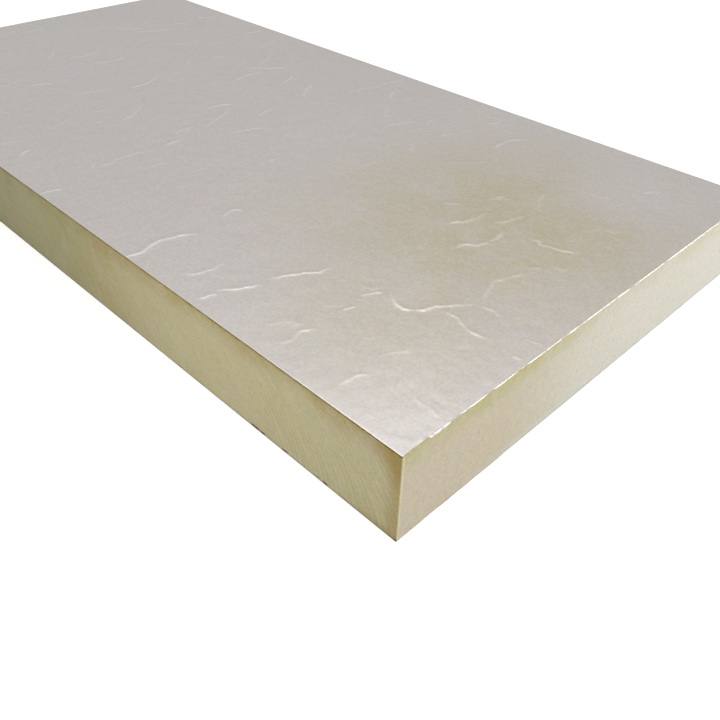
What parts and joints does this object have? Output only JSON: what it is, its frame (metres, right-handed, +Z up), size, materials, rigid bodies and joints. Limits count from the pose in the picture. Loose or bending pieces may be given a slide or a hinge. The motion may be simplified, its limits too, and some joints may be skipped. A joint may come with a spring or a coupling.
{
  "type": "rigid foam insulation board",
  "caption": "Flat rectangular rigid foam insulation board with a foil facer on each broad side, facers rolled over the short edges, long edges sawn square.",
  "frame": {"origin": "middle of the underside, where the board lies on the floor or deck", "axes": "+X along the long side, +Y along the short side, +Z up through the thickness"},
  "size_m": [1.2, 0.6, 0.1],
  "materials": {
    "foam": "matt sawn closed-cell foam, pale yellow",
    "foil_facer": "satin creased aluminium and kraft laminate"
  },
  "bodies": {
    "root": {"foam_core": "foam", "top_facer": "foil_facer", "bottom_facer": "foil_facer"}
  },
  "joints": []
}
